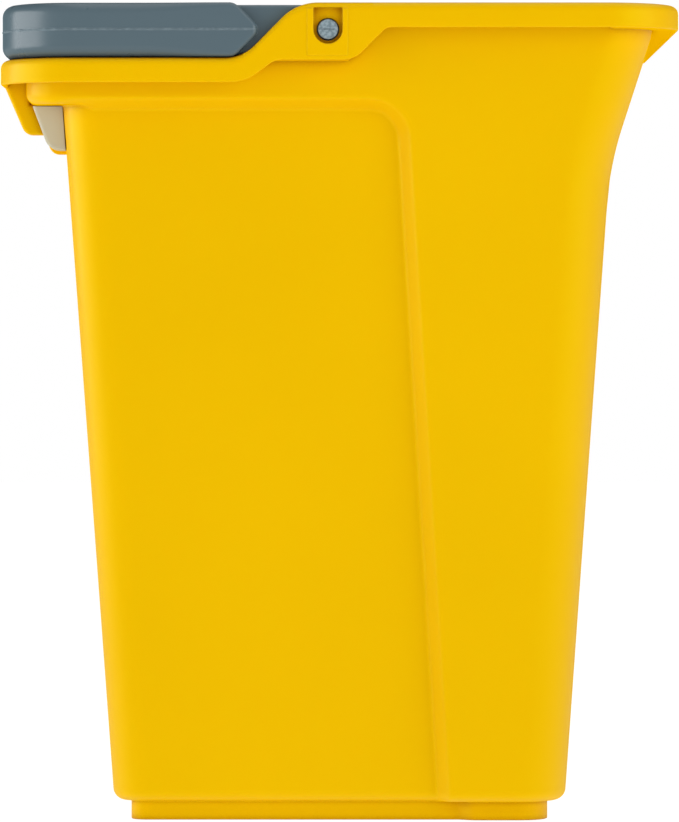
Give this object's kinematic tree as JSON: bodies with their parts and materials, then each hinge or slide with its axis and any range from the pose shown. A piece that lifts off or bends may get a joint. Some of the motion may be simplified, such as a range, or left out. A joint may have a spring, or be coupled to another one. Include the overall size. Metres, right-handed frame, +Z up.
{
  "type": "waste bin",
  "caption": "Open rectangular pail-style waste bin with a raised pivot rim, one flared end, and a bail handle that folds flat over the other end.",
  "frame": {"origin": "on the floor under the middle of the rim, at the underside of the foot ring", "axes": "+Z up, +X towards the flared end, -X towards the end the bail folds onto, Y along the bail's pivot axis"},
  "size_m": [0.274, 0.3, 0.33],
  "materials": {
    "yellow_plastic": "satin gloss, moulded",
    "grey_plastic": "satin, moulded",
    "pale_plastic": "satin, slightly translucent"
  },
  "bodies": {
    "bin": {"bin_body": "yellow_plastic", "hook_pad_left": "pale_plastic", "hook_pad_right": "pale_plastic"},
    "bail": {"bail_handle": "grey_plastic"}
  },
  "joints": [
    {"name": "bail_pivot", "type": "hinge", "parent": "bin", "child": "bail", "pos_m": [-0.0046, 0, 0.3192], "axis": [0, 1, 0], "range_deg": [0, 100]}
  ]
}
